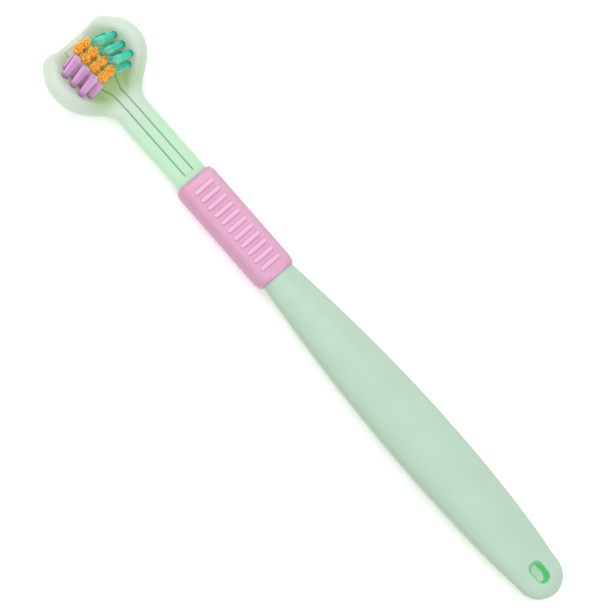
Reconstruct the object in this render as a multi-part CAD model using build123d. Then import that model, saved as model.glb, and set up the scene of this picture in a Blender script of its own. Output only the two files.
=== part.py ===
"""Three-sided pet toothbrush, millimetres.

One long moulded body holds everything: a U-shaped head with two raised wings, a slim neck and a swelling
handle with a hanging hole. A centre carrier is let into the floor of the head and the front of the neck, and
its edges show as two fine seams. Each wing holds a tufted plate that faces inwards and up. Every tuft is a
bundle of filaments folded over a flat metal anchor near the bottom of its hole. A rubber grip with cross ribs
fills a shallow seat between the neck and the handle.

Frame: X along the brush with the head at -X, Y across it, Z up out of the bristle side. The origin is the
centre of the length and width, at the lowest point of the back. A station u is a distance from the head's tip.
"""

from build123d import *
import os
from math import cos, pi, radians, sin, sqrt

os.makedirs("parts", exist_ok=True)

# ---------------------------------------------------------------- driving dimensions
LENGTH = 175.0              # overall, tip to tail

HEAD_LENGTH = 22.4          # tip to where the neck runs parallel
HEAD_WIDTH = 26.3           # across both wings at their widest
WING_ANGLE = 48.0           # wing faces above the horizontal, degrees
RIM_RADIUS = 2.3            # rounding of a wing's free edge
TIP_SHRINK = 1.35           # how fast that rounding shrinks as the shell thins at the tip
FLOOR_HALF = 3.3            # half width of the flat floor between the wings
FLOOR_HEIGHT = 3.9          # floor above the lowest point of the back
HEAD_POWER = 1.95           # superellipse power of the back of the head and neck

NECK_WIDTH = 8.7
NECK_THICKNESS = 4.6
NECK_LIFT = 1.0             # back of the neck above the lowest point
NECK_CORNER = 1.7           # rounding of the neck's front edges
NECK_RISE = 0.7             # how much the neck's front climbs on its way to the grip

GRIP_START = 44.2           # head end of the rubber grip, from the tip
GRIP_LENGTH = 30.6
GRIP_WIDTH = 11.0
GRIP_LIFT = 0.15            # back of the grip above the lowest point
GRIP_TOP = 9.0              # front of the grip above the lowest point
GRIP_POWER = 2.3
GRIP_CORNER = 3.0           # rounding of the grip's front edges, across
GRIP_SIDE = 4.0             # height where the grip is widest
GRIP_END_ROUND = 2.3        # length over which each end rounds down
GRIP_END_WALL = 0.95        # rubber left over the seat at each end
SEAT_DEPTH = 0.7            # how deep the grip's seat is let into the body
MOULD_GAP = 0.02            # between pieces moulded or pressed together

RIB_COUNT = 11
RIB_PITCH = 2.37
RIB_LENGTH = 5.9
RIB_WIDTH = 1.2
RIB_HEIGHT = 0.45

WAIST_WIDTH = 8.8           # handle where it leaves the grip
WAIST_THICKNESS = 7.4
WAIST_LIFT = 1.1
HANDLE_WIDTH = 15.7         # handle at its widest
HANDLE_THICKNESS = 11.6
PEAK_FROM_TAIL = 45.0       # widest section
HANDLE_POWER = 2.15         # squareness of the handle's section
TAIL_RADIUS = 5.85          # rounding of the tail in plan
TAIL_THICKNESS = 7.0
TAIL_LIFT = 1.2

HANG_WIDTH = 3.1            # oval hanging hole
HANG_LENGTH = 5.0
HANG_FROM_TAIL = 6.4        # tail to the hole's middle
HANG_MOUTH = 0.5            # how far each mouth flares

WING_FIELD = 9.2            # middle of a wing's tufts, from the tip
CENTRE_FIELD = 7.9          # middle of the centre tufts, from the tip
TUFT_PITCH = 2.95           # along the head
ROW_PITCH = 2.6             # between the two rows of a wing
ROW_FROM_RIM = 1.95         # upper row below the inner edge of the rim
CENTRE_COLUMN = 1.15        # each centre column from the middle
TUFT_LEAN = 5.0             # wing tufts lean towards the tip, degrees
UPPER_TUFTS = 3             # in a wing's upper row
LOWER_TUFTS = 4             # in a wing's lower row
CENTRE_TUFTS = 4            # in a centre column
TUFT_HOLE_RADIUS = 0.85
HOLE_FLOOR = 0.4            # plastic left under a tuft hole
TUFT_GAP = 0.02             # tuft to hole, all round
UPPER_TUFT_LENGTH = 6.5     # free length
LOWER_TUFT_LENGTH = 4.7
WING_TIP_RADIUS = 1.08
CENTRE_TUFT_LENGTH = 7.2
CENTRE_TIP_RADIUS = 0.9
TIP_ROUND = 0.3

PLATE_THICKNESS = 2.5       # tufted plates and centre carrier
PLATE_MARGIN = 0.6          # plate beyond its outermost holes
PROUD = 0.03                # plate and carrier faces stand this much above the body
SEAM_GAP = 0.08             # centre carrier to body, each side
SEAM_LIP = 0.16             # how much wider the seam is at the surface
SEAM_LIP_DEPTH = 0.3

PAD_START = 1.6             # carrier's end near the tip
PAD_SIDE = 0.2              # carrier pad inside the edge of the floor, each side
SHOULDER_START = 11.4       # carrier starts to narrow
SHOULDER_END = 16.6         # carrier has become a strip
SHOULDER_ROUND = 3.0
STRIP_WIDTH = 2.3
STRIP_BEFORE_GRIP = 1.5     # strip's visible end before the grip
TANG_LENGTH = 7.0           # hidden tongue past the end of the strip
TANG_WIDTH = 1.7
TANG_DROP = 1.3             # tongue's top below the front of the strip

ANCHOR_THICKNESS = 0.3
ANCHOR_HEIGHT = 1.2
ANCHOR_BITE = 0.25          # anchor past the hole, each side
ANCHOR_LIFT = 0.35          # folded filament under the anchor

SECTION_POINTS = 24         # spline points on half a section

# ---------------------------------------------------------------- values worked out from them
GRIP_END = GRIP_START + GRIP_LENGTH
STRIP_END = GRIP_START - STRIP_BEFORE_GRIP
NECK_TOP = NECK_LIFT + NECK_THICKNESS
PEAK = LENGTH - PEAK_FROM_TAIL
TAIL_CENTRE = LENGTH - TAIL_RADIUS
WING = radians(WING_ANGLE)
LEAN = radians(TUFT_LEAN)
RIM_EDGE = (HEAD_WIDTH / 2 - RIM_RADIUS - RIM_RADIUS * sin(WING) - FLOOR_HALF) / cos(WING)
UPPER_ROW = RIM_EDGE - ROW_FROM_RIM     # up a wing's face from the edge of the floor
LOWER_ROW = UPPER_ROW - ROW_PITCH
HOLE_DEPTH = PLATE_THICKNESS - HOLE_FLOOR
TUFT_RADIUS = TUFT_HOLE_RADIUS - TUFT_GAP

# How far the outline has swelled from the neck to the full head, by share of HEAD_LENGTH.
HEAD_SWELL = [
    (0.0, 0.44), (0.015, 0.535), (0.045, 0.625), (0.09, 0.71), (0.157, 0.83), (0.23, 0.925),
    (0.295, 0.975), (0.38, 1.0), (0.45, 0.995), (0.52, 0.965), (0.59, 0.895), (0.66, 0.775),
    (0.73, 0.585), (0.8, 0.35), (0.87, 0.155), (0.935, 0.04), (1.0, 0.0),
]
WING_FADE = [(0.0, 1.0), (0.65, 1.0), (0.73, 0.80), (0.82, 0.42), (0.92, 0.1), (1.0, 0.0)]   # 1 head, 0 neck
# How much the shell thins towards the tip, which rounds its edge: from below, and from inside.
BACK_RISE = [(0.0, 1.6), (0.015, 0.85), (0.045, 0.32), (0.11, 0.05), (0.2, 0.0)]
TIP_THINNING = [(0.0, 1.15), (0.015, 0.55), (0.045, 0.15), (0.09, 0.0)]


# ---------------------------------------------------------------- sections
def smooth(x, knots):
    """Value at x of the monotone cubic through knots, a list of (x, value)."""
    xs = [k[0] for k in knots]
    ys = [k[1] for k in knots]
    if x <= xs[0]:
        return ys[0]
    if x >= xs[-1]:
        return ys[-1]
    steps = [b - a for a, b in zip(xs, xs[1:])]
    slopes = [(b - a) / h for a, b, h in zip(ys, ys[1:], steps)]
    tangents = [slopes[0]]
    for s0, s1, h0, h1 in zip(slopes, slopes[1:], steps, steps[1:]):
        w0, w1 = 2 * h1 + h0, h1 + 2 * h0
        tangents.append(0.0 if s0 * s1 <= 0 else (w0 + w1) / (w0 / s0 + w1 / s1))
    tangents.append(slopes[-1])
    k = max(i for i, knot in enumerate(xs[:-1]) if knot <= x)
    h, t = steps[k], (x - xs[k]) / steps[k]
    return (
        (1 + 2 * t) * (1 - t) ** 2 * ys[k]
        + t * (1 - t) ** 2 * h * tangents[k]
        + t * t * (3 - 2 * t) * ys[k + 1]
        - t * t * (1 - t) * h * tangents[k + 1]
    )


def head_section(u):
    """Sizes of the section at station u, from the tip to the neck's parallel part."""
    s = u / HEAD_LENGTH
    neck_half = NECK_WIDTH / 2
    half = neck_half + (HEAD_WIDTH / 2 - neck_half) * smooth(s, HEAD_SWELL)
    fade = smooth(s, WING_FADE)
    thinning = smooth(s, TIP_THINNING)
    radius = NECK_CORNER + (RIM_RADIUS - NECK_CORNER) * fade - TIP_SHRINK * thinning
    foot = neck_half / 4 + (FLOOR_HALF - neck_half / 4) * fade
    # The rim's centre lies one rim radius behind the wing's face, which is a plane away from the tip.
    wing_side = FLOOR_HEIGHT + ((half - radius - FLOOR_HALF) * sin(WING) - radius - thinning) / cos(WING)
    return dict(
        half=half,
        back=NECK_LIFT * (1 - fade) + smooth(s, BACK_RISE),
        side=wing_side * fade + (NECK_TOP - radius) * (1 - fade),
        corner_y=radius,
        corner_z=radius,
        angle=WING * fade,
        foot=foot,
        floor=FLOOR_HEIGHT * fade + NECK_TOP * (1 - fade) - thinning,
        back_power=HEAD_POWER,
        front_power=2.0,
    )


def mix(a, b, t):
    """Section sizes between a and b."""
    return {key: a[key] * (1 - t) + b[key] * t for key in a}


def grown(s, amount):
    """Section sizes with every side moved out by amount."""
    return s | dict(
        half=s["half"] + amount,
        back=s["back"] - amount,
        corner_y=s["corner_y"] + amount,
        corner_z=s["corner_z"] + amount,
        floor=s["floor"] + amount,
    )


def handle_section(u):
    """Sizes of the section at station u, from the grip to the tail."""
    if u <= PEAK:
        swell = 1 - (1 - (u - GRIP_END) / (PEAK - GRIP_END)) ** 1.9
        width = WAIST_WIDTH + (HANDLE_WIDTH - WAIST_WIDTH) * swell
        thickness = WAIST_THICKNESS + (HANDLE_THICKNESS - WAIST_THICKNESS) * swell
        lift = WAIST_LIFT * (1 - swell)
    else:
        fall = min(1.0, (u - PEAK) / (TAIL_CENTRE - PEAK)) ** 2.2
        width = HANDLE_WIDTH + (2 * TAIL_RADIUS - HANDLE_WIDTH) * fall
        thickness = HANDLE_THICKNESS + (TAIL_THICKNESS - HANDLE_THICKNESS) * fall
        lift = TAIL_LIFT * fall
    middle = lift + thickness / 2
    if u > TAIL_CENTRE:
        share = min((u - TAIL_CENTRE) / TAIL_RADIUS, 0.995)
        width *= sqrt(1 - share**2)
        thickness *= (1 - share**3) ** (1 / 3)
    return dict(
        half=width / 2,
        back=middle - thickness / 2,
        side=middle,
        corner_y=width / 2,
        corner_z=thickness / 2,
        angle=0.0,
        foot=0.0,
        floor=middle + thickness / 2,
        back_power=HANDLE_POWER,
        front_power=HANDLE_POWER,
    )


def neck_section(u):
    """Sizes of the section at station u, from the head to the grip."""
    rise = NECK_RISE * max(0.0, (u - HEAD_LENGTH) / (GRIP_START - HEAD_LENGTH)) ** 1.5
    s = head_section(min(u, HEAD_LENGTH))
    return s | dict(side=s["side"] + rise, floor=s["floor"] + rise)


def seat_section(u):
    """Sizes of the body's section under the grip."""
    share = min(1.0, max(0.0, (u - GRIP_START) / GRIP_LENGTH))
    return grown(mix(neck_section(GRIP_START), handle_section(GRIP_END), share), -SEAT_DEPTH)


def grip_section(u):
    """Sizes of the outside of the grip, ribs apart."""
    full = dict(
        half=GRIP_WIDTH / 2,
        back=GRIP_LIFT,
        side=GRIP_SIDE,
        corner_y=GRIP_CORNER,
        corner_z=GRIP_TOP - GRIP_SIDE,
        angle=0.0,
        foot=0.0,
        floor=GRIP_TOP,
        back_power=GRIP_POWER,
        front_power=2.0,
    )
    from_end = min(u - GRIP_START, GRIP_END - u)
    if from_end >= GRIP_END_ROUND:
        return full
    rounding = 1 - sqrt(1 - (1 - from_end / GRIP_END_ROUND) ** 2)
    return mix(full, grown(seat_section(u), GRIP_END_WALL), rounding)


def power_point(angle, power):
    """Cosine and sine of angle, pulled towards a square by the superellipse power."""
    c, s = cos(angle), sin(angle)
    pull = 2 / power
    return abs(c) ** pull * (1 if c >= 0 else -1), abs(s) ** pull * (1 if s >= 0 else -1)


def half_outline(s, steps=40):
    """Fine points from the middle of the back, round the side and over the front to its middle."""
    points = []
    for k in range(steps + 1):
        c, t = power_point(pi / 2 * k / steps, s["back_power"])
        points.append((s["half"] * t, s["side"] - (s["side"] - s["back"]) * c))
    turn = pi / 2 + s["angle"]
    for k in range(1, steps + 1):
        c, t = power_point(turn * k / steps, s["front_power"])
        points.append((s["half"] - s["corner_y"] + s["corner_y"] * c, s["side"] + s["corner_z"] * t))
    points += [(s["foot"], s["floor"]), (0.0, s["floor"])]
    return points


def spaced(points, count):
    """The points of a polyline at equal distances along it, ends included."""
    reach = [0.0]
    for (y0, z0), (y1, z1) in zip(points, points[1:]):
        reach.append(reach[-1] + sqrt((y1 - y0) ** 2 + (z1 - z0) ** 2))
    result, k = [], 0
    for i in range(count):
        target = reach[-1] * i / (count - 1)
        while k < len(points) - 2 and reach[k + 1] < target:
            k += 1
        span = reach[k + 1] - reach[k]
        t = (target - reach[k]) / span if span > 0 else 0.0
        (y0, z0), (y1, z1) = points[k], points[k + 1]
        result.append((y0 + (y1 - y0) * t, z0 + (z1 - z0) * t))
    return result


def section_wire(u, s):
    """The closed smooth wire of a section at station u."""
    half = spaced(half_outline(s), SECTION_POINTS)
    loop = half + [(-y, z) for y, z in half[-2:0:-1]]
    points = [(u - LENGTH / 2, y, z) for y, z in loop]
    parameters = [k / len(loop) for k in range(len(loop) + 1)]
    return Wire([Edge.make_spline(points, periodic=True, parameters=parameters)])


def skin(sizes, stations):
    """A solid through the sections that the function sizes gives at the stations."""
    return Solid.make_loft([section_wire(u, sizes(u)) for u in stations])


def between(start, end, count):
    """Stations from start to end at equal steps."""
    return [start + (end - start) * k / count for k in range(count + 1)]


# ---------------------------------------------------------------- body without its cuts
def body_blank():
    """Head and neck, the seat under the grip, and the handle, as one solid."""
    near_tip = [0, 0.015, 0.045, 0.09, 0.15, 0.22]
    head_shares = near_tip + [0.3, 0.38, 0.46, 0.53, 0.6, 0.66, 0.72, 0.78, 0.84, 0.92, 1]
    head_stations = [share * HEAD_LENGTH for share in head_shares]
    neck_stations = between(HEAD_LENGTH, GRIP_START, 11)[1:]
    tail_stations = [TAIL_CENTRE + TAIL_RADIUS * v for v in (0.3, 0.55, 0.75, 0.88, 0.95, 0.985, 1.0)]
    handle_stations = between(GRIP_END, PEAK, 8) + between(PEAK, TAIL_CENTRE, 6)[1:] + tail_stations
    front = skin(neck_section, head_stations + neck_stations)
    seat = skin(seat_section, between(GRIP_START - 2, GRIP_END + 2, 8))
    handle = skin(handle_section, handle_stations)
    return front + seat + handle


# ---------------------------------------------------------------- grip
def rib(k):
    """One cross rib of the grip, its ends rounded."""
    station = GRIP_START + (GRIP_LENGTH - (RIB_COUNT - 1) * RIB_PITCH) / 2 + k * RIB_PITCH
    base = Plane((station - LENGTH / 2, 0, GRIP_TOP - RIB_HEIGHT))
    bar = extrude(base * SlotOverall(RIB_LENGTH, RIB_WIDTH, rotation=90), amount=2 * RIB_HEIGHT)
    return fillet(bar.faces().sort_by(Axis.Z)[-1].edges(), RIB_HEIGHT * 0.6)


def grip_sleeve():
    ends = [0.0, 0.06, 0.2, 0.45, 0.75]
    start = [GRIP_START + GRIP_END_ROUND * e for e in ends]
    finish = [GRIP_END - GRIP_END_ROUND * e for e in reversed(ends)]
    middle = between(GRIP_START + GRIP_END_ROUND, GRIP_END - GRIP_END_ROUND, 6)
    outside = skin(grip_section, start + middle + finish)
    inside = skin(lambda u: grown(seat_section(u), MOULD_GAP), between(GRIP_START - 2, GRIP_END + 2, 8))
    trimmed = outside - inside
    for k in range(RIB_COUNT):
        trimmed += rib(k)
    return trimmed


# ---------------------------------------------------------------- centre carrier
def carrier_slab(gap, end_gap, over, under):
    """The carrier's shape gap wider all round, from over the body's front surface to under it."""
    stations = between(PAD_START - gap, SHOULDER_START, 4) + between(SHOULDER_START, HEAD_LENGTH, 10)[1:]
    stations += between(HEAD_LENGTH, STRIP_END + end_gap, 5)[1:]
    heights = [neck_section(max(u, PAD_START + 1))["floor"] for u in stations]
    top = [(u - LENGTH / 2, z + over) for u, z in zip(stations, heights)]
    bottom = [(u - LENGTH / 2, z - under) for u, z in zip(stations, heights)]
    profile = Wire([Spline(*top), Line(top[-1], bottom[-1]), Spline(*bottom[::-1]), Line(bottom[0], top[0])])
    side = extrude(Plane.XZ * make_face(profile), amount=FLOOR_HALF * 2, both=True)

    pad = FLOOR_HALF - PAD_SIDE + gap
    strip = STRIP_WIDTH / 2 + gap
    right = [(PAD_START - gap, pad), (SHOULDER_START, pad), (SHOULDER_END, strip), (STRIP_END + 1, strip)]
    outline = [(u - LENGTH / 2, y) for u, y in right + [(u, -y) for u, y in right[::-1]]]
    plan = make_face(Polyline(*outline, close=True))
    shoulders = [v for v in plan.vertices() if SHOULDER_START - 0.1 < v.X + LENGTH / 2 < SHOULDER_END + 0.1]
    plan = fillet(shoulders, SHOULDER_ROUND)
    return side & extrude(plan, amount=NECK_TOP * 3)


def tongue(gap):
    """The carrier's hidden tongue, gap larger all round."""
    front = neck_section(STRIP_END)["floor"]
    low, high = front - PLATE_THICKNESS - gap, front - TANG_DROP + gap
    start, end = STRIP_END - 1.0, STRIP_END + TANG_LENGTH + gap
    middle = Pos((start + end) / 2 - LENGTH / 2, 0, (low + high) / 2)
    return middle * Box(end - start, TANG_WIDTH + 2 * gap, high - low)


def carrier_blank():
    """The centre carrier without its tuft holes."""
    return carrier_slab(0.0, 0.0, PROUD, PLATE_THICKNESS) + tongue(0.0)


def carrier_pocket():
    """What the carrier takes out of the body: its pocket, wider at the surface, and the tongue's tunnel."""
    pocket = carrier_slab(SEAM_GAP, MOULD_GAP, 2.0, PLATE_THICKNESS + MOULD_GAP)
    lip = carrier_slab(SEAM_GAP + SEAM_LIP, MOULD_GAP, 2.0, SEAM_LIP_DEPTH)
    return pocket + lip + tongue(MOULD_GAP)


# ---------------------------------------------------------------- tufts, holes and anchors
def tuft_seats():
    """Every tuft as (node name, plane at its hole's mouth with Z along the tuft, free length, tip radius)."""
    rows = (
        ("upper", UPPER_ROW, UPPER_TUFTS, UPPER_TUFT_LENGTH),
        ("lower", LOWER_ROW, LOWER_TUFTS, LOWER_TUFT_LENGTH),
    )
    seats = []
    for side, sign in (("right", 1), ("left", -1)):
        out = Vector(0, -sign * sin(WING), cos(WING))
        direction = out * cos(LEAN) - Vector(sin(LEAN), 0, 0)
        along_head = Vector(cos(LEAN), 0, 0) + out * sin(LEAN)
        for row, climb, count, length in rows:
            for k in range(count):
                u = WING_FIELD + (k - (count - 1) / 2) * TUFT_PITCH
                y = FLOOR_HALF + climb * cos(WING)
                z = FLOOR_HEIGHT + climb * sin(WING)
                mouth = Vector(u - LENGTH / 2, sign * y, z) + out * PROUD
                plane = Plane(mouth, x_dir=along_head, z_dir=direction)
                seats.append((f"{side}_{row}_tuft_{k + 1}", plane, length, WING_TIP_RADIUS))
        for k in range(CENTRE_TUFTS):
            u = CENTRE_FIELD + (k - (CENTRE_TUFTS - 1) / 2) * TUFT_PITCH
            mouth = Vector(u - LENGTH / 2, sign * CENTRE_COLUMN, FLOOR_HEIGHT + PROUD)
            plane = Plane(mouth, x_dir=(1, 0, 0), z_dir=(0, 0, 1))
            seats.append((f"centre_{side}_tuft_{k + 1}", plane, CENTRE_TUFT_LENGTH, CENTRE_TIP_RADIUS))
    return seats


def hole(plane):
    return plane * Pos(0, 0, -HOLE_DEPTH) * Cylinder(
        TUFT_HOLE_RADIUS, HOLE_DEPTH + 1, align=(Align.CENTER, Align.CENTER, Align.MIN)
    )


def anchor(plane, clearance=0.0):
    """The flat wire across the hole, biting into the plastic at both ends."""
    length = 2 * (TUFT_HOLE_RADIUS + ANCHOR_BITE + clearance)
    low = -HOLE_DEPTH + ANCHOR_LIFT
    return plane * Pos(0, 0, low + ANCHOR_HEIGHT / 2) * Box(
        length, ANCHOR_THICKNESS + 2 * clearance, ANCHOR_HEIGHT + 2 * clearance
    )


def tuft(plane, length, tip_radius):
    """A bundle of filaments: a root in the hole, then a slight flare to rounded tips."""
    root = -HOLE_DEPTH + TUFT_GAP
    profile = Polyline(
        (0, root), (TUFT_RADIUS, root), (TUFT_RADIUS, 0), (tip_radius, length - TIP_ROUND),
        (tip_radius - TIP_ROUND, length), (0, length), close=True,
    )
    bundle = revolve(Plane.XZ * make_face(profile), axis=Axis.Z)
    return plane * bundle - anchor(plane, TUFT_GAP)


# ---------------------------------------------------------------- wing plates
def plate_blank(sign, clearance=0.0):
    """A wing plate without holes, or its pocket when clearance is set; sign 1 is the right wing."""
    around = TUFT_HOLE_RADIUS + PLATE_MARGIN + clearance
    rounds = []
    for climb, count in ((UPPER_ROW, UPPER_TUFTS), (LOWER_ROW, LOWER_TUFTS)):
        for end in (-1, 1):
            x = WING_FIELD - LENGTH / 2 + end * (count - 1) / 2 * TUFT_PITCH
            rounds += (Pos(x, climb * sign) * Circle(around)).edges()
    plan = make_hull(rounds)
    out = Vector(0, -sign * sin(WING), cos(WING))
    face = Plane((0, sign * FLOOR_HALF, FLOOR_HEIGHT), x_dir=(1, 0, 0), z_dir=out)
    above = 1.0 if clearance else PROUD
    below = PLATE_THICKNESS - PROUD + clearance
    return extrude(face.offset(-below) * plan, amount=below + above)


# ---------------------------------------------------------------- hanging hole
def hang_hole():
    """An oval hole through the tail whose mouths flare."""
    centre = LENGTH / 2 - HANG_FROM_TAIL
    oval = SlotOverall(HANG_LENGTH, HANG_WIDTH)
    cut = extrude(Pos(centre, 0, -1) * oval, amount=HANDLE_THICKNESS + 2)
    middle = TAIL_LIFT + TAIL_THICKNESS / 2
    half = TAIL_THICKNESS / 2
    for direction in (1, -1):
        plane = Plane((centre, 0, middle + direction * (half - HANG_MOUTH)), z_dir=(0, 0, direction))
        cut += extrude(plane * oval, amount=2 * HANG_MOUTH, taper=-40)
    return cut


# ---------------------------------------------------------------- assembly
seats = tuft_seats()
sides = {"right": 1, "left": -1}


def of_side(side):
    """Planes of the tufts planted in one plate; side is left, right or centre."""
    return [plane for name, plane, _, _ in seats if name.startswith(side)]


def planted(blank, side):
    """A plate or the carrier with its tuft holes and anchor slots."""
    for plane in of_side(side):
        blank = blank - hole(plane) - anchor(plane, TUFT_GAP)
    return blank


parts = {}
body = body_blank() - hang_hole() - carrier_pocket()
for side, sign in sides.items():
    body -= plate_blank(sign, MOULD_GAP)
    parts[f"{side}_wing_plate"] = planted(plate_blank(sign), side)
parts["handle_body"] = body
parts["centre_carrier"] = planted(carrier_blank(), "centre")
parts["grip_sleeve"] = grip_sleeve()
for name, plane, length, tip_radius in seats:
    parts[name] = tuft(plane, length, tip_radius)
for side in ("left", "right", "centre"):
    parts[f"{side}_tuft_anchors"] = Compound(children=[anchor(plane) for plane in of_side(side)])

for name, shape in parts.items():
    export_step(shape, f"parts/{name}.step")
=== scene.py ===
"""Looks of a three-sided pet toothbrush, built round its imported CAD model.

The moulded body, the centre carrier, the wing plates and the tuft anchors keep their CAD meshes and
get their plastics and metal here. The rubber grip and every tuft are grown by Geometry Nodes and
stand for their nodes. Metres, in the frame of the CAD: X along the brush with the head at -X, Y
across it, Z up out of the bristles.
"""

from math import cos, pi, radians, sin, tan

import bpy
from bpy.props import EnumProperty, FloatProperty, FloatVectorProperty, IntProperty, PointerProperty
from mathutils import Matrix, Vector


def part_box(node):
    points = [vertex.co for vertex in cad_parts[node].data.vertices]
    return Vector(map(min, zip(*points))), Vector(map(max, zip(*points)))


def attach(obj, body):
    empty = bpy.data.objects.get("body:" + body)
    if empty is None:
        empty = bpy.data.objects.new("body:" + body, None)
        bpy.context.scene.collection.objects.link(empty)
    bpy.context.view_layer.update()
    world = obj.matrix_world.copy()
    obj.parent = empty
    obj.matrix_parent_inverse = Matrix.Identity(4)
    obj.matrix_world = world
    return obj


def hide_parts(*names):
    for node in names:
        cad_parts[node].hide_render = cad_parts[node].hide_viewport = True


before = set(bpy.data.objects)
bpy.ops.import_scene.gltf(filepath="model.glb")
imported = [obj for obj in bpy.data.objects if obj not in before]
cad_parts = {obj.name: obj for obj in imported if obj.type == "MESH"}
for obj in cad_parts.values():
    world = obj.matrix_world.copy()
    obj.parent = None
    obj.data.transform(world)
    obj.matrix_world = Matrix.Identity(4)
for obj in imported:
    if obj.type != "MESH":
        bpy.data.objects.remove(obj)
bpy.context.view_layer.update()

bl_info = {
    "name": "Three-Sided Toothbrush",
    "version": (1, 0, 0),
    "blender": (4, 5, 0),
    "location": "View3D > Sidebar > Toothbrush",
    "description": "Bristles, rubber grip, plastics and stage for a three-sided toothbrush",
    "category": "Object",
}

MM = 0.001

# ---------------------------------------------------------------- places read from the frame
BODY_LOW, BODY_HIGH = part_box("handle_body")
CARRIER_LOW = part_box("centre_carrier")[0]
GRIP_LOW, GRIP_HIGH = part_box("grip_sleeve")
PLATE_LOW, PLATE_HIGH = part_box("right_wing_plate")
UP = Vector((0.0, 0.0, 1.0))

# ---------------------------------------------------------------- sizes shared with the CAD model
HOLE_CENTRE = Vector((BODY_HIGH.x - 6.4 * MM, 0.0, 0.0))
HOLE_STRAIGHT = 0.95 * MM   # half of the oval hole's straight sides
HOLE_WALL = 1.5 * MM        # from the oval's middle line to just inside its wall
HOLE_MOUTH = 1.95 * MM      # the same, to where the mouth has flared
SHOULDER_START = BODY_LOW.x + 11.4 * MM     # where the centre carrier starts to narrow
SHOULDER_LENGTH = 5.2 * MM
PAD_SEAM = 3.22 * MM        # middle of the carrier's seam, beside the tufts
STRIP_SEAM = 1.27 * MM      # and along the neck
CARRIER_REACH = 3.3 * MM    # half of the width that holds the carrier and its seam
SEAM_START = BODY_LOW.x + 1.6 * MM
SEAM_END = GRIP_LOW.x - 1.5 * MM
WING_ANGLE = radians(48)
TUFT_LEAN = radians(5)      # of the wing tufts, towards the tip

# Sections of the grip: half width, back, height of its widest place, front corner and front.
SECTION = ("Half", "Back", "Side", "Corner", "Front")
SEAT_AT_HEAD = (4.35 * MM, 1.0 * MM, 4.6 * MM, 1.7 * MM, 6.3 * MM)
SEAT_AT_TAIL = (4.4 * MM, 1.1 * MM, 4.8 * MM, 4.4 * MM, 8.5 * MM)
GRIP_SIDE = 4.0 * MM
GRIP_CORNER = 3.0 * MM


# ---------------------------------------------------------------- node trees
class Value:
    """A number socket that takes Python arithmetic: every operation adds a Math node."""

    def __init__(self, graph, socket):
        self.graph = graph
        self.socket = socket

    def math(self, operation, *terms):
        node = self.graph.node("ShaderNodeMath", {"operation": operation}, dict(enumerate(terms)))
        return Value(self.graph, node.outputs[0])

    def __add__(self, other):
        return self.math("ADD", self, other)

    def __radd__(self, other):
        return self.math("ADD", other, self)

    def __sub__(self, other):
        return self.math("SUBTRACT", self, other)

    def __rsub__(self, other):
        return self.math("SUBTRACT", other, self)

    def __mul__(self, other):
        return self.math("MULTIPLY", self, other)

    def __rmul__(self, other):
        return self.math("MULTIPLY", other, self)

    def __truediv__(self, other):
        return self.math("DIVIDE", self, other)

    def __rtruediv__(self, other):
        return self.math("DIVIDE", other, self)

    def __pow__(self, power):
        return self.math("POWER", self, power)

    def __abs__(self):
        return self.math("ABSOLUTE", self)

    def sine(self):
        return self.math("SINE", self)

    def cosine(self):
        return self.math("COSINE", self)

    def sign(self):
        return self.math("SIGN", self)

    def floor(self):
        return self.math("FLOOR", self)

    def least(self, other):
        return self.math("MINIMUM", self, other)

    def most(self, other):
        return self.math("MAXIMUM", self, other)

    def reaches(self, whole):
        """1 where this whole number is at least the given one, else 0."""
        return self.rise(whole - 0.6, whole - 0.4)

    def rise(self, start, end):
        """0 below start, 1 above end and smooth between them; start may be the larger."""
        node = self.graph.node(
            "ShaderNodeMapRange", {"interpolation_type": "SMOOTHSTEP"},
            {"Value": self, "From Min": start, "From Max": end},
        )
        return Value(self.graph, node.outputs[0])


class Graph:
    """A node tree being built; node() is the one way in which anything is added to it."""

    def __init__(self, tree):
        self.tree = tree

    def node(self, kind, settings=None, inputs=None):
        """Adds a node, sets it up, then gives its sockets their numbers or links."""
        node = self.tree.nodes.new(kind)
        for name, setting in (settings or {}).items():
            setattr(node, name, setting)
        for key, source in (inputs or {}).items():
            self.feed(node.inputs[key], source)
        return node

    def feed(self, socket, source):
        source = source.socket if isinstance(source, Value) else source
        if isinstance(source, bpy.types.NodeSocket):
            self.tree.links.new(source, socket)
        else:
            socket.default_value = source

    def value(self, kind, settings=None, inputs=None, output=0):
        """The number that a new node gives out."""
        return Value(self, self.node(kind, settings, inputs).outputs[output])

    def vector(self, operation, *terms):
        node = self.node("ShaderNodeVectorMath", {"operation": operation}, dict(enumerate(terms)))
        return node.outputs["Vector"]

    def parts(self, vector):
        """The three numbers in a vector."""
        node = self.node("ShaderNodeSeparateXYZ", None, {0: vector})
        return [Value(self, output) for output in node.outputs]

    def joined(self, x, y, z):
        return self.node("ShaderNodeCombineXYZ", None, {0: x, 1: y, 2: z}).outputs[0]


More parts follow.
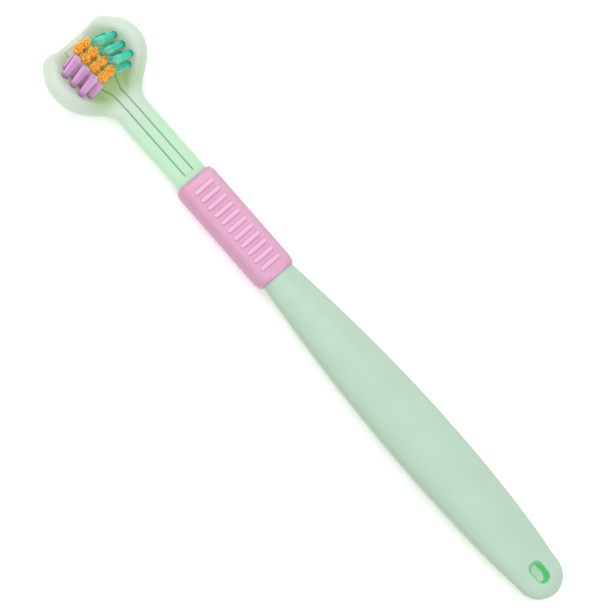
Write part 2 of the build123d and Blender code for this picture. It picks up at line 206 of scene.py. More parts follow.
class Paint(Graph):
    """A material's nodes, with patterns on Object coordinates."""

    def __init__(self, name):
        self.material = bpy.data.materials.new(name)
        self.material.use_nodes = True
        super().__init__(self.material.node_tree)
        self.tree.nodes.clear()
        places = self.node("ShaderNodeTexCoord")
        self.place = places.outputs["Object"]
        self.facing = self.node("ShaderNodeNewGeometry").outputs["Normal"]

    def blend(self, share, low, high):
        """Colour low where share is 0 and high where it is 1."""
        node = self.node("ShaderNodeMix", {"data_type": "RGBA"}, {0: share, 6: low, 7: high})
        return node.outputs[2]

    def noise(self, size, detail=2.0, stretch=(1, 1, 1)):
        """Soft noise from 0 to 1 whose lumps are about size metres across."""
        scaled = self.vector("MULTIPLY", self.place, stretch)
        settings = {"Vector": scaled, "Scale": 1 / size, "Detail": detail, "Roughness": 0.55}
        return self.value("ShaderNodeTexNoise", None, settings)

    def finish(self, colour, roughness, heights, glow=None, **fixed):
        """Closes the material. heights is a list of (value, metres), glow the emission colour, and
        fixed the shader sockets with one number all over."""
        normal = None
        for height, depth in heights:
            bump = {"Height": height, "Distance": depth, "Strength": 1.0}
            if normal is not None:
                bump["Normal"] = normal
            normal = self.node("ShaderNodeBump", None, bump).outputs[0]
        sockets = {"Base Color": colour, "Roughness": roughness}
        sockets.update({name.replace("_", " "): number for name, number in fixed.items()})
        if normal is not None:
            sockets["Normal"] = normal
        if glow is not None:
            sockets["Emission Color"] = glow
        shader = self.node("ShaderNodeBsdfPrincipled", None, sockets)
        self.node("ShaderNodeOutputMaterial", None, {"Surface": shader.outputs[0]})
        return self.material


class Form(Graph):
    """A Geometry Nodes tree with named inputs, applied to one piece and left as a plain mesh."""

    def __init__(self, name):
        super().__init__(bpy.data.node_groups.new(name, "GeometryNodeTree"))
        self.tree.interface.new_socket("Geometry", in_out="OUTPUT", socket_type="NodeSocketGeometry")
        self.source = self.node("NodeGroupInput")

    def input(self, name, kind="Float"):
        """A named input of the tree; a number comes back ready for arithmetic."""
        self.tree.interface.new_socket(name, in_out="INPUT", socket_type=f"NodeSocket{kind}")
        socket = self.source.outputs[name]
        return Value(self, socket) if kind in ("Float", "Int") else socket

    def store(self, geometry, name, number):
        """The geometry with a number kept under that name on each of its points."""
        settings = {"data_type": "FLOAT", "domain": "POINT"}
        inputs = {"Geometry": geometry, "Name": name, "Value": number}
        return self.node("GeometryNodeStoreNamedAttribute", settings, inputs).outputs[0]

    def moved(self, geometry, x, y, z):
        """The geometry with each of its points at that place."""
        inputs = {"Geometry": geometry, "Position": self.joined(x, y, z)}
        return self.node("GeometryNodeSetPosition", None, inputs).outputs[0]

    def close(self, geometry, material):
        """Ends the tree with real meshes, smooth faces and their material."""
        real = self.node("GeometryNodeRealizeInstances", None, {"Geometry": geometry}).outputs[0]
        smooth = self.node("GeometryNodeSetShadeSmooth", None, {"Geometry": real}).outputs[0]
        painted = self.node("GeometryNodeSetMaterial", None, {"Geometry": smooth, "Material": material})
        self.node("NodeGroupOutput", None, {0: painted.outputs[0]})

    def grow(self, name, inputs):
        """A new object holding the mesh that the tree makes from these inputs."""
        seed = bpy.data.objects.new(name + "_form", bpy.data.meshes.new(name + "_form"))
        bpy.context.scene.collection.objects.link(seed)
        modifier = seed.modifiers.new("Form", "NODES")
        modifier.node_group = self.tree
        sockets = {item.name: item for item in self.tree.interface.items_tree if item.in_out == "INPUT"}
        if set(sockets) != set(inputs):
            raise RuntimeError(f"{name}: the tree's inputs are {sorted(sockets)}, not {sorted(inputs)}")
        for key, given in inputs.items():
            modifier[sockets[key].identifier] = given
        bpy.context.view_layer.update()
        evaluated = seed.evaluated_get(bpy.context.evaluated_depsgraph_get())
        mesh = bpy.data.meshes.new_from_object(evaluated)
        bpy.data.objects.remove(seed)
        if not mesh.polygons:
            raise RuntimeError(f"{name}: the tree made no faces")
        mesh.name = name
        piece = bpy.data.objects.new(name, mesh)
        bpy.context.scene.collection.objects.link(piece)
        return piece


def stand_for(piece, node):
    """Puts a grown piece in the place of its CAD node."""
    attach(piece, "root")
    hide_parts(node)


def repaint(node, material):
    """Gives a carried-over CAD node its material."""
    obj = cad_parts[node]
    obj.data.materials.clear()
    obj.data.materials.append(material)


# ---------------------------------------------------------------- materials
def opaque(colour):
    return (*colour, 1.0)


def mint_plastic(colours):
    """Glossy moulded plastic: paler at the head, with yellower painted shade between the wings, dark
    green painted shade in the hanging hole and in the narrow gap round the centre carrier, painted
    shade down the handle's sides and a painted glow between the wings and in the hole."""
    paint = Paint("mint_plastic_seamed")
    x, y, z = paint.parts(paint.place)
    up = paint.parts(paint.facing)[2]

    # The head is paler, the neck fresher and the handle duller, and painted shade darkens the handle's
    # sides.
    along = x.rise(CARRIER_LOW.x + 14 * MM, CARRIER_LOW.x + 30 * MM)
    tail = x.rise(GRIP_LOW.x, GRIP_HIGH.x)
    shade = paint.blend(along, opaque(colours.head), opaque(colours.neck))
    shade = paint.blend(tail, shade, opaque(colours.handle))
    shade = paint.blend(paint.noise(9 * MM, 1.0).rise(0.3, 0.7) * 0.15, shade, opaque(colours.neck))
    # Painted shade down the handle's sides, where they turn away from the light.
    shade = paint.blend(up.rise(0.88, 0.3) * tail * 0.7, shade, opaque(colours.handle_side_shade))

    # Low down between the wings, but not at the tip, a yellower painted shade stands for shadow and
    # light bounced from the bristles.
    in_head = x.rise(PLATE_HIGH.x + 6 * MM, PLATE_HIGH.x)
    in_head = in_head * x.rise(BODY_LOW.x + 1 * MM, BODY_LOW.x + 5 * MM)
    low = z.rise(PLATE_HIGH.z, PLATE_LOW.z) * up.rise(0.0, 0.5)
    shade = paint.blend(in_head * low * 0.8, shade, opaque(colours.trough_shade_and_glow))

    # Painted shade makes the walls of the oval hanging hole deep green.
    from_centre = paint.vector("SUBTRACT", paint.place, HOLE_CENTRE)
    hole_x, hole_y, _ = paint.parts(from_centre)
    oval = ((abs(hole_x) - HOLE_STRAIGHT).most(0.0) ** 2 + hole_y ** 2) ** 0.5
    inside = oval.rise(HOLE_MOUTH, HOLE_WALL)
    shade = paint.blend(inside, shade, opaque(colours.deep_shade_and_glow))

    # Painted shade also makes the walls of the gap round the carrier deep green, and a softer painted
    # shade follows the gap on the surface.
    near = abs(y).rise(CARRIER_REACH + 0.1 * MM, CARRIER_REACH)
    near = near * x.rise(SEAM_START - 0.4 * MM, SEAM_START - 0.2 * MM)
    walls = abs(up).rise(0.92, 0.6) * near * x.rise(GRIP_LOW.x, GRIP_LOW.x - 0.5 * MM)
    shade = paint.blend(walls * 0.85, shade, opaque(colours.deep_shade_and_glow))
    narrowing = ((x - SHOULDER_START) / SHOULDER_LENGTH).most(0.0).least(1.0)
    seam = PAD_SEAM - narrowing * (PAD_SEAM - STRIP_SEAM)
    seam_shade = abs(abs(y) - seam).rise(0.34 * MM, 0.1 * MM) * x.rise(SEAM_END, SEAM_END - 0.2 * MM)
    seam_shade = seam_shade * x.rise(SEAM_START, SEAM_START + 1.4 * MM) * up.rise(0.3, 0.6)
    shade = paint.blend(seam_shade * 0.5, shade, opaque(colours.deep_shade_and_glow))

    scuff = paint.noise(1.3 * MM, 4.0, (0.25, 1, 1))
    roughness = 0.33 + scuff * 0.10 + paint.noise(14 * MM, 1.0) * 0.06
    # A painted glow stands for a little light coming through the plastic between the wings, and more in
    # the hole.
    glow = paint.blend(in_head * low * 0.27, opaque((0.0, 0.0, 0.0)), opaque(colours.trough_shade_and_glow))
    glow = paint.blend(inside, glow, opaque(colours.deep_shade_and_glow))
    heights = [(paint.noise(7 * MM, 1.0), 0.015 * MM), (paint.noise(0.35 * MM, 2.0), 0.004 * MM)]
    return paint.finish(
        shade, roughness, heights, glow, Emission_Strength=0.8, IOR=1.5,
        Subsurface_Weight=0.18, Subsurface_Scale=0.002, Subsurface_Radius=(0.7, 1.0, 0.75),
        Coat_Weight=0.15, Coat_Roughness=0.12,
    )


def pink_rubber(colours):
    """Soft matt elastomer: a fine grain, with painted highlights on the rib tops, painted shade down
    the sides and faint handling marks.
    """
    paint = Paint("pink_rubber")
    z = paint.parts(paint.place)[2]
    up = paint.parts(paint.facing)[2]
    # Painted highlight: the tops of the ribs are paler; the same lighter colour gives the faint
    # mottling below.
    ribs = z.rise(GRIP_HIGH.z - 0.42 * MM, GRIP_HIGH.z - 0.2 * MM)
    shade = paint.blend(ribs, opaque(colours.rubber), opaque(colours.rubber_highlight_and_mottle))
    cloud = paint.noise(5 * MM, 2.0).rise(0.35, 0.7)
    shade = paint.blend(cloud * 0.25, shade, opaque(colours.rubber_highlight_and_mottle))
    # Painted shade down the grip's sides, where they turn away from the light.
    shade = paint.blend(up.rise(0.93, 0.35) * 0.55, shade, opaque(colours.rubber_side_shade))
    grain = paint.noise(0.22 * MM, 3.0)
    roughness = 0.46 + grain * 0.16
    heights = [(grain, 0.012 * MM), (paint.noise(3 * MM, 1.0), 0.02 * MM)]
    return paint.finish(
        shade, roughness, heights, IOR=1.43, Subsurface_Weight=0.12, Subsurface_Scale=0.0015,
        Subsurface_Radius=(1.0, 0.5, 0.7), Sheen_Weight=0.12, Sheen_Roughness=0.4,
    )


def nylon(name, root, middle, tip, painted_glow):
    """Bristle nylon: painted shade darkens it at the root, and the tip is paler, partly the cut ends'
    own look and partly painted highlight; each filament is a little different. The last argument is the
    strength of a painted glow that stands for light coming through the filaments from behind."""
    paint = Paint(name)
    along = paint.value("ShaderNodeAttribute", {"attribute_name": "along"}, None, "Fac")
    strand = paint.value("ShaderNodeAttribute", {"attribute_name": "strand"}, None, "Fac")
    # Painted shade darkens the filaments towards the root; the tips turn paler, partly their cut ends'
    # own look and partly painted highlight.
    shade = paint.blend(along.rise(0.2, 0.5), opaque(root), opaque(middle))
    shade = paint.blend(along.rise(0.8, 1.0), shade, opaque(tip))
    # At random, each filament leans a little towards the root's painted shade colour.
    shade = paint.blend(strand * 0.35, shade, opaque(root))
    streak = paint.noise(0.5 * MM, 2.0)
    roughness = 0.34 + streak * 0.12
    # The shade colour also feeds a painted glow that stands for light coming through the filaments.
    return paint.finish(
        shade, roughness, [(paint.noise(0.12 * MM, 1.0), 0.003 * MM)], shade,
        Emission_Strength=painted_glow, IOR=1.53,
        Subsurface_Weight=0.1, Subsurface_Scale=0.0005, Subsurface_Radius=(1.0, 1.0, 1.0),
    )


def anchor_metal(colour):
    """Drawn flat wire: bright metal with fine lengthwise marks."""
    paint = Paint("anchor_metal")
    marks = paint.noise(0.12 * MM, 3.0, (0.15, 1, 1))
    shade = paint.blend(marks * 0.5, opaque(colour), opaque([c * 0.7 for c in colour]))
    return paint.finish(shade, 0.28 + marks * 0.2, [(marks, 0.004 * MM)], Metallic=1.0)


# ---------------------------------------------------------------- forms
def tuft_form(wavy):
    """A tree that grows one tuft: filaments on a sunflower spiral, spreading towards rounded tips."""
    form = Form("wavy_tuft" if wavy else "straight_tuft")
    count = form.input("Filaments", "Int")
    thickness = form.input("Filament Radius")
    root_radius = form.input("Root Radius")
    tip_radius = form.input("Tip Radius")
    depth = form.input("Depth")
    length = form.input("Free Length")
    crown = form.input("Crown")
    wave_height = form.input("Wave Height")
    wave_length = form.input("Wave Length")
    seed = form.input("Seed", "Int")
    mouth = form.input("Mouth", "Vector")
    turn = form.input("Turn", "Vector")
    material = form.input("Material", "Material")

    segments = 10 if wavy else 5
    uneven = 0.12 if wavy else 0.035     # share of its length by which a filament may fall short
    thinning = 0.2 if wavy else 0.45     # share of its radius that a filament loses at its tip
    golden_angle = pi * (3 - 5 ** 0.5)

    points = form.node("GeometryNodePoints", None, {"Count": count})
    strand = form.node("GeometryNodeCurvePrimitiveLine", None, {"Start": (0, 0, 0), "End": (0, 0, 1)})
    fine = form.node("GeometryNodeResampleCurve", None,
                     {"Curve": strand.outputs[0], "Count": segments + 1})
    numbered = form.store(points.outputs[0], "number", form.value("GeometryNodeInputIndex"))
    strands = form.node("GeometryNodeInstanceOnPoints", None,
                        {"Points": numbered, "Instance": fine.outputs[0]})
    loose = form.node("GeometryNodeRealizeInstances", None, {"Geometry": strands.outputs[0]}).outputs[0]

    number = form.value("GeometryNodeInputNamedAttribute", {"data_type": "FLOAT"}, {"Name": "number"})
    along = form.value("GeometryNodeSplineParameter")

    def chance(low, high, offset):
        """A random number for the whole filament."""
        node = form.node("FunctionNodeRandomValue", {"data_type": "FLOAT"},
                         {"ID": number, "Seed": seed + offset})
        for socket in node.inputs:
            if socket.name == "Min" and socket.type == "VALUE":
                socket.default_value = low
            if socket.name == "Max" and socket.type == "VALUE":
                socket.default_value = high
        return Value(form, next(o for o in node.outputs if o.type == "VALUE"))

    ring = ((number + 0.5) / count) ** 0.5
    around = number * golden_angle + seed * 0.7
    east, north = around.cosine(), around.sine()
    height = length * (1 - crown * ring ** 2 - chance(0.0, uneven, 1))
    climb = along * (height + depth) - depth
    open_share = (climb / length).most(0.0)
    radius = ring * ((root_radius - thickness) + (tip_radius - root_radius) * open_share)
    lean = open_share ** 2 * thickness * 1.3
    phase = chance(0.0, 2 * pi, 2)
    ripple = (climb * 2 * pi / wave_length + phase).sine() * wave_height * open_share ** 0.5
    ripple_side = chance(0.0, 2 * pi, 3)
    ripple_x, ripple_y = ripple * ripple_side.cosine(), ripple * ripple_side.sine()
    side_x = east * radius + chance(-1.0, 1.0, 4) * lean + ripple_x
    side_y = north * radius + chance(-1.0, 1.0, 5) * lean + ripple_y
    filaments = form.moved(loose, side_x, side_y, climb)
    filaments = form.store(filaments, "along", along)
    filaments = form.store(filaments, "strand", chance(0.0, 1.0, 6))
    taper = 1 - along.rise(0.86, 1.0) * thinning
    section = form.node("GeometryNodeCurvePrimitiveCircle", {"mode": "RADIUS"},
                        {"Resolution": 6, "Radius": thickness}).outputs[0]
    tubes = form.node("GeometryNodeCurveToMesh", None,
                      {"Curve": filaments, "Profile Curve": section, "Scale": taper, "Fill Caps": True})
    placed = form.node("GeometryNodeTransform", None,
                       {"Geometry": tubes.outputs[0], "Translation": mouth, "Rotation": turn})
    form.close(placed.outputs[0], material)
    return form


def grip_form():
    """A tree that grows the grip: a soft-cornered sleeve with a tunnel for the body, and cross ribs."""
    form = Form("ribbed_grip")
    start, end = form.input("Head End"), form.input("Tail End")
    end_round = form.input("End Round")
    middle = {key: form.input(f"Middle {key}") for key in SECTION}
    head = {key: form.input(f"Head {key}") for key in SECTION}
    tail = {key: form.input(f"Tail {key}") for key in SECTION}
    step = form.input("Step Over Body")
    bed = form.input("Bed Depth")
    ribs = form.input("Ribs", "Int")
    pitch = form.input("Rib Pitch")
    rib_length = form.input("Rib Length")
    rib_width = form.input("Rib Width")
    rib_height = form.input("Rib Height")
    material = form.input("Material", "Material")

    rows, columns = 48, 73  # on the outside, along the grip and round it
    nudge = 1e-4            # keeps a row's first point out of the row before it
    weld = 0.001 * MM
    squareness = 0.87       # power of the back's section, where 1 is an ellipse
    rib_squareness = 0.6

    # A grid is rolled into a tube: its rows run along the outside to the tail end, come back through
    # the tunnel, and the last one closes on the first.
    grid = form.node("GeometryNodeMeshGrid", None, {"Vertices X": 2 * rows + 1, "Vertices Y": columns})
    index = form.value("GeometryNodeInputIndex")
    row = (index / columns + nudge).floor()
    column = index - row * columns
    row = row - row.reaches(2 * rows) * (2 * rows)
    inner = row.reaches(rows)
    there = row / (rows - 1) * (1 - inner) + (2 * rows - 1 - row) / (rows - 1) * inner
    share = 0.5 - 0.5 * (there * pi).cosine()
    x = start + (end - start) * share

    # Each section is the seat on the body at the ends, and swells to the full grip over the rounding.
    from_end = ((x - start).least(end - x) / end_round).least(1.0)
    full = (1 - (1 - from_end) ** 2).most(0.0) ** 0.5 * (1 - inner)
    over = step * (1 - inner) - bed * inner
    size = {}
    for key, outward in zip(SECTION, (1, -1, 0, 1, 1)):
        seat = head[key] * (1 - share) + tail[key] * share + over * outward
        size[key] = middle[key] * full + seat * (1 - full)

    # Round the section, the back is a squared ellipse and the front a flat between two corners.
    turn = column * (2 * pi / (columns - 1))
    c, s = turn.cosine(), turn.sine()
    side = c.sign()
    front = s.rise(-1e-5, 1e-5)
    back_y = size["Half"] * abs(c) ** squareness
    back_z = size["Side"] - (size["Side"] - size["Back"]) * abs(s) ** squareness
    front_y = size["Half"] - size["Corner"] + size["Corner"] * abs(c)
    front_z = size["Side"] + (size["Front"] - size["Side"]) * abs(s)
    y = side * (front_y * front + back_y * (1 - front))
    z = front_z * front + back_z * (1 - front)
    skin = form.moved(grid.outputs["Mesh"], x, y, z)
    sleeve = form.node("GeometryNodeMergeByDistance", None,
                       {"Geometry": skin, "Distance": weld}).outputs[0]

    # A rib is a ball pulled out into a bar with rounded ends.
    ball = form.node("GeometryNodeMeshUVSphere", None, {"Segments": 20, "Rings": 12, "Radius": 1.0})
    ball_x, ball_y, ball_z = form.parts(form.node("GeometryNodeInputPosition").outputs[0])
    ends = ball_y.sign() * (rib_length - rib_width) * 0.5
    bar_y = ball_y * rib_width * 0.5 + ends * abs(ball_y).rise(0.0, 0.05)
    bar_z = ball_z.sign() * abs(ball_z) ** rib_squareness * rib_height
    bar = form.moved(ball.outputs["Mesh"], ball_x * rib_width * 0.5, bar_y, bar_z)
    first = (start + end) * 0.5 - (ribs - 1) * pitch * 0.5
    line = form.node("GeometryNodeMeshLine", None, {
        "Count": ribs, "Start Location": form.joined(first, 0.0, middle["Front"]),
        "Offset": form.joined(pitch, 0.0, 0.0),
    }).outputs[0]
    bars = form.node("GeometryNodeInstanceOnPoints", None, {"Points": line, "Instance": bar})
    join = form.node("GeometryNodeJoinGeometry")
    for part in (sleeve, bars.outputs[0]):
        form.feed(join.inputs[0], part)
    form.close(join.outputs[0], material)
    return form


# ---------------------------------------------------------------- settings that a user would change
def tint(name, description, default):
    """A colour that the user can pick."""
    return FloatVectorProperty(
        name=name, description=description, default=default, subtype="COLOR", size=3, min=0.0, max=1.0
    )


class BrushColours(bpy.types.PropertyGroup):
    """Colours of the plastics, rubber, filaments and anchors."""

    head: tint("Head", "Plastic of the head", (0.55, 0.63, 0.545))
    neck: tint("Neck", "Plastic of the neck", (0.455, 0.69, 0.49))
    handle: tint("Handle", "Plastic of the handle", (0.42, 0.58, 0.47))
    # Painted shade down the sides of the handle.
    handle_side_shade: tint("Handle edges", "Plastic down the sides of the handle", (0.29, 0.41, 0.27))
    # Painted shade and painted glow low between the wings.
    trough_shade_and_glow: tint("Trough", "Plastic between the wings", (0.28, 0.48, 0.19))
    # Painted shade and painted glow inside the hanging hole, painted shade in and beside the seams.
    deep_shade_and_glow: tint("Deep", "Plastic inside the hanging hole and seams", (0.0, 0.34, 0.05))
    rubber: tint("Rubber", "Grip", (0.66, 0.34, 0.49))
    # Painted shade down the sides of the grip.
    rubber_side_shade: tint("Rubber sides", "Sides of the grip", (0.44, 0.21, 0.32))
    # Painted highlight on the rib tops, also used for the faint lighter mottling.
    rubber_highlight_and_mottle: tint("Rubber highlights", "Tops of the grip's ribs", (0.76, 0.43, 0.61))
    anchor: tint("Anchors", "Metal that holds the tufts", (0.72, 0.70, 0.62))
    # For each filament colour below, the root is painted shade and the tip partly the cut ends' own
    # paler look and partly painted highlight.
    purple_root_shade: tint("Left roots", "Left filaments at the root", (0.42, 0.15, 0.40))
    purple: tint("Left filaments", "Left filaments along their length", (0.80, 0.45, 0.77))
    purple_tip: tint("Left tips", "Left filaments at the tip", (0.86, 0.60, 0.88))
    teal_root_shade: tint("Right roots", "Right filaments at the root", (0.0, 0.42, 0.27))
    teal: tint("Right filaments", "Right filaments along their length", (0.05, 0.78, 0.54))
    teal_tip: tint("Right tips", "Right filaments at the tip", (0.32, 0.92, 0.78))
    orange_root_shade: tint("Centre roots", "Centre filaments at the root", (0.62, 0.24, 0.0))
    orange: tint("Centre filaments", "Centre filaments along their length", (1.0, 0.50, 0.03))
    orange_tip: tint("Centre tips", "Centre filaments at the tip", (1.0, 0.66, 0.12))


class BristleSizes(bpy.types.PropertyGroup):
    """Sizes of the filaments and how they spread."""

    filaments: IntProperty(
        name="Filaments", description="Filaments in a wing tuft", default=48, min=7, max=90
    )
    crimped: IntProperty(
        name="Crimped filaments", description="Filaments in a centre tuft", default=36, min=7, max=90
    )
    filament_radius: FloatProperty(
        name="Filament radius", description="Half of a filament's thickness",
        default=0.1 * MM, unit="LENGTH", precision=5,
    )
    crimped_radius: FloatProperty(
        name="Crimped filament radius", description="Half of a centre filament's thickness",
        default=0.135 * MM, unit="LENGTH", precision=5,
    )
    root_radius: FloatProperty(
        name="Root radius", description="Half of a tuft's width in its hole",
        default=0.83 * MM, unit="LENGTH", precision=5,
    )
    hole_depth: FloatProperty(
        name="Hole depth", description="Filament hidden in the plate",
        default=2.08 * MM, unit="LENGTH", precision=5,
    )
    splay: FloatProperty(
        name="Splay", description="How much further the crimped centre filaments spread",
        default=0.6 * MM, unit="LENGTH", precision=5,
    )
    wave_height: FloatProperty(
        name="Wave height", description="How far a crimped centre filament swings each way",
        default=0.17 * MM, unit="LENGTH", precision=5,
    )
    wave_length: FloatProperty(
        name="Wave length", description="Length of one crimp of a centre filament",
        default=1.7 * MM, unit="LENGTH", precision=5,
    )
    crown: FloatProperty(
        name="Crown", description="How much shorter the outermost filaments are",
        default=0.054, min=0.0, max=0.3, subtype="FACTOR",
    )
    seed: IntProperty(name="Seed", description="Changes every random choice", default=7, min=0)


class GripSizes(bpy.types.PropertyGroup):
    """Sizes of the rubber grip and its ribs."""

    half_width: FloatProperty(
        name="Half width", description="Half of the grip's width",
        default=5.5 * MM, unit="LENGTH", precision=5,
    )
    end_round: FloatProperty(
        name="End rounding", description="Length over which each end rounds down",
        default=2.3 * MM, unit="LENGTH", precision=5,
    )
    ribs: IntProperty(name="Ribs", description="Cross ribs along the grip", default=11, min=1, max=20)
    rib_pitch: FloatProperty(
        name="Rib pitch", description="From one rib to the next",
        default=2.37 * MM, unit="LENGTH", precision=5,
    )
    rib_length: FloatProperty(
        name="Rib length", description="Across the grip", default=5.9 * MM, unit="LENGTH", precision=5
    )
    rib_width: FloatProperty(
        name="Rib width", description="Along the grip", default=1.2 * MM, unit="LENGTH", precision=5
    )
    rib_height: FloatProperty(
        name="Rib height", description="Above the grip's surface",
        default=0.45 * MM, unit="LENGTH", precision=5,
    )


class StageSizes(bpy.types.PropertyGroup):
    """Floor, lights and viewpoint."""

    floor: tint("Floor", "Colour of the floor", (0.96, 0.96, 0.96))
    floor_side: FloatProperty(
        name="Floor side", description="Half of the floor's width", default=3.0, unit="LENGTH"
    )
    sky: FloatProperty(
        name="Sky", description="Strength of the even light from all round", default=0.82, min=0.0
    )
    target: FloatVectorProperty(
        name="Target", description="Where the camera looks",
        default=(-3.139 * MM, 0.332 * MM, 5.0 * MM),
        subtype="TRANSLATION", unit="LENGTH", size=3, precision=5,
    )
    distance: FloatProperty(
        name="Distance", description="Camera to the brush", default=0.7, unit="LENGTH", min=0.1
    )
    sideways: FloatProperty(
        name="Sideways", description="Viewpoint's turn towards the tail",
        default=0.01126, unit="ROTATION",
    )
    across: FloatProperty(
        name="Across", description="Viewpoint's turn towards the left wing",
        default=-0.18601, unit="ROTATION",
    )
    roll: FloatProperty(
        name="Roll", description="Camera's turn about its own line of sight",
        default=-0.71742, unit="ROTATION",
    )
    lens: FloatProperty(name="Lens", description="Focal length", default=173.8, unit="CAMERA", min=10.0)


# ---------------------------------------------------------------- operators
def tuft_axis(side):
    """The direction in which tufts stand: 1 is the left wing, -1 the right one and 0 the centre."""
    if side == 0:
        return UP.copy()
    out = Vector((0.0, side * sin(WING_ANGLE), cos(WING_ANGLE)))
    return out * cos(TUFT_LEAN) - Vector((sin(TUFT_LEAN), 0.0, 0.0))


def tuft_extent(node, axis):
    """Root point, whole length and largest radius of a CAD tuft that stands along axis."""
    places = [v.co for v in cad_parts[node].data.vertices]
    across = axis.orthogonal().normalized()
    beside = axis.cross(across)
    spans = []
    for direction in (axis, across, beside):
        reach = [place.dot(direction) for place in places]
        spans.append((min(reach), max(reach)))
    root = axis * spans[0][0]
    for direction, (low, high) in zip((across, beside), spans[1:]):
        root = root + direction * (low + high) / 2
    return root, spans[0][1] - spans[0][0], (spans[1][1] - spans[1][0]) / 2


class MouldedBodyOperator(bpy.types.Operator):
    """Give the moulded body, the centre carrier and the wing plates their plastic"""

    bl_idname = "toothbrush.moulded_body"
    bl_label = "Moulded Body"

    def execute(self, context):
        mint = mint_plastic(context.scene.brush_colours)
        for node in ("handle_body", "centre_carrier", "left_wing_plate", "right_wing_plate"):
            repaint(node, mint)
        return {"FINISHED"}


class AnchorsOperator(bpy.types.Operator):
    """Give the flat wire anchors under the tufts their metal"""

    bl_idname = "toothbrush.anchors"
    bl_label = "Tuft Anchors"

    def execute(self, context):
        metal = anchor_metal(context.scene.brush_colours.anchor)
        for side in ("left", "right", "centre"):
            repaint(f"{side}_tuft_anchors", metal)
        return {"FINISHED"}


class GripOperator(bpy.types.Operator):
    """Grow the rubber grip and its cross ribs"""

    bl_idname = "toothbrush.grip"
    bl_label = "Rubber Grip"

    def execute(self, context):
        sizes = context.scene.grip_sizes
        front = GRIP_HIGH.z - sizes.rib_height
        sections = {
            "Middle": (sizes.half_width, GRIP_LOW.z, GRIP_SIDE, GRIP_CORNER, front),
            "Head": SEAT_AT_HEAD,
            "Tail": SEAT_AT_TAIL,
        }
        inputs = {
            "Head End": GRIP_LOW.x,
            "Tail End": GRIP_HIGH.x,
            "End Round": sizes.end_round,
            "Step Over Body": 0.25 * MM,
            "Bed Depth": 0.6 * MM,
            "Ribs": sizes.ribs,
            "Rib Pitch": sizes.rib_pitch,
            "Rib Length": sizes.rib_length,
            "Rib Width": sizes.rib_width,
            "Rib Height": sizes.rib_height,
            "Material": pink_rubber(context.scene.brush_colours),
        }
        for place, section in sections.items():
            for key, size in zip(SECTION, section):
                inputs[f"{place} {key}"] = size
        stand_for(grip_form().grow("ribbed_grip", inputs), "grip_sleeve")
        return {"FINISHED"}


class TuftsOperator(bpy.types.Operator):
    """Grow the tufts of one side from their filaments"""

    bl_idname = "toothbrush.tufts"
    bl_label = "Tufts"

    side: EnumProperty(
        name="Side", description="Which tufts to grow",
        items=[
            ("left", "Left wing", "Straight purple tufts"),
            ("right", "Right wing", "Straight teal tufts"),
            ("centre", "Centre", "Crimped orange tufts"),
        ],
    )

    def execute(self, context):
        sizes, colours = context.scene.bristle_sizes, context.scene.brush_colours
        looks = {
            "left": ("purple_bristle", colours.purple_root_shade, colours.purple, colours.purple_tip),
            "right": ("teal_bristle", colours.teal_root_shade, colours.teal, colours.teal_tip),
            "centre": ("orange_bristle", colours.orange_root_shade, colours.orange, colours.orange_tip),
        }
        wavy = self.side == "centre"
        material = nylon(*looks[self.side], painted_glow=0.14 if wavy else 0.03)
        form = tuft_form(wavy)
        names = sorted(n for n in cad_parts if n.startswith(self.side) and n[-1].isdigit())
        axis = tuft_axis({"left": 1, "right": -1, "centre": 0}[self.side])
        for k, node in enumerate(names):
            root, length, tip_radius = tuft_extent(node, axis)
            piece = form.grow(f"{node}_filaments", {
                "Filaments": sizes.crimped if wavy else sizes.filaments,
                "Filament Radius": sizes.crimped_radius if wavy else sizes.filament_radius,
                "Root Radius": sizes.root_radius,
                "Tip Radius": tip_radius + (sizes.splay if wavy else 0.0),
                "Depth": sizes.hole_depth,
                "Free Length": length - sizes.hole_depth,
                "Crown": sizes.crown,
                "Wave Height": sizes.wave_height if wavy else 0.0,
                "Wave Length": sizes.wave_length,
                "Seed": sizes.seed + 11 * k,
                "Mouth": root + axis * sizes.hole_depth,
                "Turn": Vector(UP.rotation_difference(axis).to_euler()),
                "Material": material,
            })
            stand_for(piece, node)
        return {"FINISHED"}


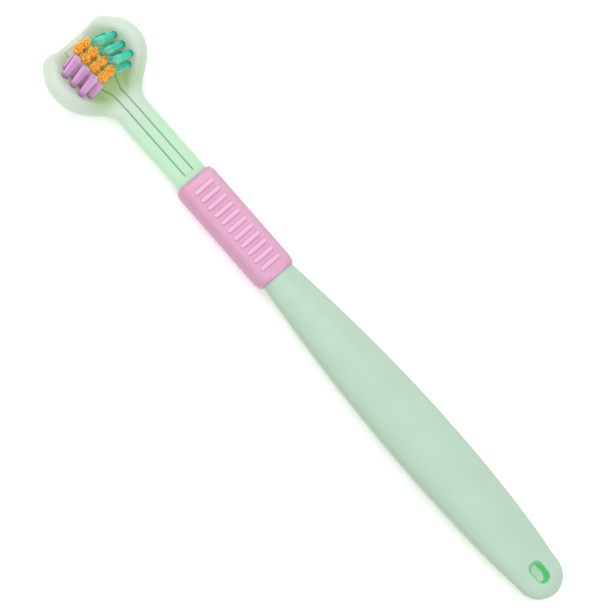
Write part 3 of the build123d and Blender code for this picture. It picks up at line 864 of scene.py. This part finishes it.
class StageOperator(bpy.types.Operator):
    """Lay the floor, hang the lights and set up the camera"""

    bl_idname = "toothbrush.stage"
    bl_label = "Stage"

    def execute(self, context):
        stage = context.scene.stage_sizes
        self.floor(context, stage)
        self.lights(context, stage)
        self.camera(context, stage)
        return {"FINISHED"}

    def floor(self, context, stage):
        side = stage.floor_side
        mesh = bpy.data.meshes.new("floor")
        corners = [(-side, -side, 0), (side, -side, 0), (side, side, 0), (-side, side, 0)]
        mesh.from_pydata(corners, [], [(0, 1, 2, 3)])
        floor = bpy.data.objects.new("floor", mesh)
        paint = Paint("floor_paper")
        fibres = paint.noise(4 * MM, 3.0)
        pale = opaque(stage.floor)
        shade = paint.blend(fibres * 0.1, pale, opaque([c * 0.985 for c in stage.floor]))
        paper = paint.finish(shade, 0.9, [], shade, Emission_Strength=0.16, Specular_IOR_Level=0.1)
        mesh.materials.append(paper)
        context.scene.collection.objects.link(floor)

    def lights(self, context, stage):
        for name, place, size, power in (
            ("key", (-0.8, 0.2, 0.9), 0.8, 4.6),
            ("fill", (0.7, -0.6, 0.9), 1.0, 2.0),
            ("top", (0.0, 0.0, 1.4), 1.3, 3.4),
        ):
            lamp = bpy.data.lights.new(name, "AREA")
            lamp.size = size
            lamp.energy = power
            light = bpy.data.objects.new(name, lamp)
            light.location = place
            light.rotation_euler = Vector(place).to_track_quat("Z", "Y").to_euler()
            context.scene.collection.objects.link(light)
        world = bpy.data.worlds.new("studio")
        world.use_nodes = True
        background = world.node_tree.nodes["Background"]
        background.inputs["Color"].default_value = (1.0, 1.0, 1.0, 1.0)
        background.inputs["Strength"].default_value = stage.sky
        context.scene.world = world
        context.scene.view_settings.view_transform = "Standard"

    def camera(self, context, stage):
        target = Vector(stage.target)
        back = Vector((tan(stage.sideways), tan(stage.across), 1.0)).normalized()
        right = (-back).cross(Vector((-1.0, 0.0, 0.0))).normalized()
        up = right.cross(-back)
        rolled_right = right * cos(stage.roll) + up * sin(stage.roll)
        rolled_up = up * cos(stage.roll) - right * sin(stage.roll)
        lens = bpy.data.cameras.new("camera")
        lens.lens = stage.lens
        lens.sensor_width = 36.0
        lens.clip_end = 20.0
        camera = bpy.data.objects.new("camera", lens)
        turn = Matrix((rolled_right, rolled_up, back)).transposed()
        camera.matrix_world = Matrix.Translation(target + back * stage.distance) @ turn.to_4x4()
        context.scene.collection.objects.link(camera)
        context.scene.camera = camera


class ToothbrushPanel(bpy.types.Panel):
    """Every step of the toothbrush, in order"""

    bl_idname = "VIEW3D_PT_toothbrush"
    bl_label = "Toothbrush"
    bl_space_type = "VIEW_3D"
    bl_region_type = "UI"
    bl_category = "Toothbrush"

    def draw(self, context):
        layout = self.layout
        for step in (StageOperator, MouldedBodyOperator, AnchorsOperator, GripOperator):
            layout.operator(step.bl_idname)
        for side in ("left", "right", "centre"):
            layout.operator(TuftsOperator.bl_idname, text=f"{side.title()} tufts").side = side
        for name in SETTINGS:
            box = layout.box()
            settings = getattr(context.scene, name)
            for field in settings.bl_rna.properties.keys():
                if field not in ("rna_type", "name"):
                    box.prop(settings, field)


SETTINGS = {
    "brush_colours": BrushColours,
    "bristle_sizes": BristleSizes,
    "grip_sizes": GripSizes,
    "stage_sizes": StageSizes,
}
OPERATORS = (StageOperator, MouldedBodyOperator, AnchorsOperator, GripOperator, TuftsOperator)


def register():
    for kind in (*SETTINGS.values(), *OPERATORS, ToothbrushPanel):
        bpy.utils.register_class(kind)
    for name, kind in SETTINGS.items():
        setattr(bpy.types.Scene, name, PointerProperty(type=kind))


def unregister():
    for name in SETTINGS:
        delattr(bpy.types.Scene, name)
    for kind in (ToothbrushPanel, *OPERATORS, *SETTINGS.values()):
        bpy.utils.unregister_class(kind)


def main():
    register()
    bpy.ops.toothbrush.stage()
    bpy.ops.toothbrush.moulded_body()
    bpy.ops.toothbrush.anchors()
    bpy.ops.toothbrush.grip()
    for side in ("left", "right", "centre"):
        bpy.ops.toothbrush.tufts(side=side)


if __name__ == "__main__":
    main()
